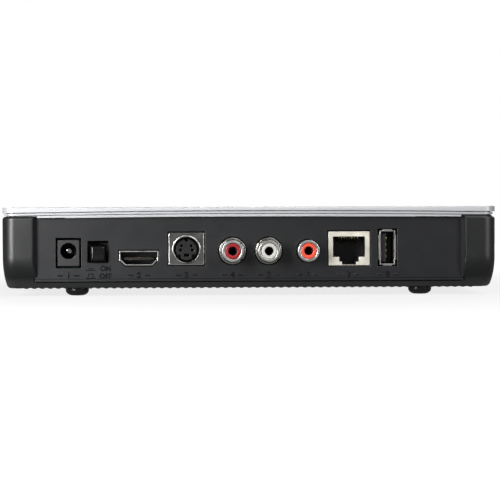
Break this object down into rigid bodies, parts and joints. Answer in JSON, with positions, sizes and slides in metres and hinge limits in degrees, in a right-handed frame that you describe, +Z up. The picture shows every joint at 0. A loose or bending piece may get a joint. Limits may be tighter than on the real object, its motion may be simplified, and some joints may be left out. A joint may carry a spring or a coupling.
{
  "type": "media player with hard drive tray",
  "caption": "Flat two-part plastic media player box with a row of audio, video, network and USB sockets at the back and a pull-out tray for a small hard drive in its front.",
  "frame": {"origin": "on the table, under the middle of the part's box", "axes": "+Z up, +Y out of the rear panel with the sockets, -Y the way the tray comes out, +X to the right seen from the front"},
  "size_m": [0.191, 0.1536, 0.0345],
  "materials": {
    "black_abs": "black ABS, fine spark texture, satin",
    "pale_abs": "pale warm white ABS, smooth satin gloss",
    "panel_abs": "dark blue-grey ABS, fine matt texture",
    "gloss_abs": "black ABS, polished",
    "ir_plastic": "deep red polycarbonate that passes infrared, polished",
    "clear_acrylic": "clear acrylic, moulded",
    "foot_rubber": "black rubber, slightly glossy",
    "zinc_screws": "zinc-plated steel",
    "board_laminate": "green solder mask on glass laminate",
    "socket_plastic": "black glass-filled nylon, moulded",
    "nickel_plate": "bright nickel plating",
    "satin_nickel": "satin nickel on brass sheet",
    "tin_plate": "tin-plated steel sheet, dull",
    "button_abs": "black ABS, polished",
    "spring_steel": "drawn spring wire",
    "red_plastic": "red moulded plastic",
    "white_plastic": "white moulded plastic",
    "orange_plastic": "orange moulded plastic",
    "gold_plate": "gold-plated bronze",
    "chip_epoxy": "black moulded epoxy",
    "anodised_aluminium": "extruded, clear anodised",
    "capacitor_sleeve": "blue shrink sleeve",
    "galvanised_steel": "galvanised steel sheet",
    "led_resin": "clear cast resin",
    "ribbon_plastic": "polyester film over flat conductors",
    "tray_abs": "dark grey ABS, satin",
    "lever_abs": "silver-grey paint on zinc die casting",
    "latch_abs": "red ABS",
    "cast_aluminium": "die-cast, bead blasted",
    "cover_steel": "stainless sheet, brushed"
  },
  "bodies": {
    "chassis": {"lower_housing": "black_abs", "top_cover": "pale_abs", "rear_panel": "panel_abs", "front_fascia": "gloss_abs", "ir_window": "ir_plastic", "light_pipe": "clear_acrylic", "foot_front_left": "foot_rubber", "foot_front_right": "foot_rubber", "foot_rear_left": "foot_rubber", "foot_rear_right": "foot_rubber", "case_screws": "zinc_screws", "main_board": "board_laminate", "board_screws": "zinc_screws", "dc_jack_body": "socket_plastic", "dc_jack_pin": "nickel_plate", "switch_body": "socket_plastic", "switch_spring": "spring_steel", "hdmi_shell": "nickel_plate", "hdmi_insert": "socket_plastic", "svideo_shield": "tin_plate", "svideo_insert": "socket_plastic", "audio_block": "socket_plastic", "red_barrel": "nickel_plate", "red_insert": "red_plastic", "white_barrel": "nickel_plate", "white_insert": "white_plastic", "coax_block": "socket_plastic", "coax_barrel": "nickel_plate", "coax_insert": "orange_plastic", "lan_shield": "satin_nickel", "lan_insert": "socket_plastic", "lan_contacts": "gold_plate", "usb_shell": "nickel_plate", "usb_insert": "socket_plastic", "usb_contacts": "gold_plate", "main_chip": "chip_epoxy", "heat_sink": "anodised_aluminium", "memory_chips": "chip_epoxy", "capacitors": "capacitor_sleeve", "dock_board": "board_laminate", "drive_socket": "socket_plastic", "drive_cage": "galvanised_steel", "cage_screws": "zinc_screws", "front_board": "board_laminate", "ir_receiver": "chip_epoxy", "status_lights": "led_resin", "ribbon_cable": "ribbon_plastic"},
    "button": {"power_button": "button_abs"},
    "tray": {"drive_tray": "tray_abs", "tray_bezel": "gloss_abs", "bezel_screws": "zinc_screws", "lever_pin": "spring_steel", "latch_spring": "spring_steel", "drive_base": "cast_aluminium", "drive_cover": "cover_steel", "drive_board": "board_laminate", "drive_screws": "zinc_screws"},
    "lever": {"tray_lever": "lever_abs"},
    "latch": {"latch_button": "latch_abs"}
  },
  "joints": [
    {"name": "power_push", "type": "slide", "parent": "chassis", "child": "button", "axis": [0, -1, 0], "range_m": [0, 0.0025], "stiffness_N_per_m": 300, "springref_m": -0.002, "deforming": ["switch_spring"]},
    {"name": "tray_slide", "type": "slide", "parent": "chassis", "child": "tray", "axis": [0, -1, 0], "range_m": [0, 0.105]},
    {"name": "lever_swing", "type": "hinge", "parent": "tray", "child": "lever", "pos_m": [0.00905, -0.07318, 0.0221], "axis": [0, 0, -1], "range_deg": [0, 70]},
    {"name": "latch_push", "type": "slide", "parent": "tray", "child": "latch", "axis": [0, 1, 0], "range_m": [0, 0.0012], "stiffness_N_per_m": 200, "springref_m": -0.001, "deforming": ["latch_spring"]}
  ]
}
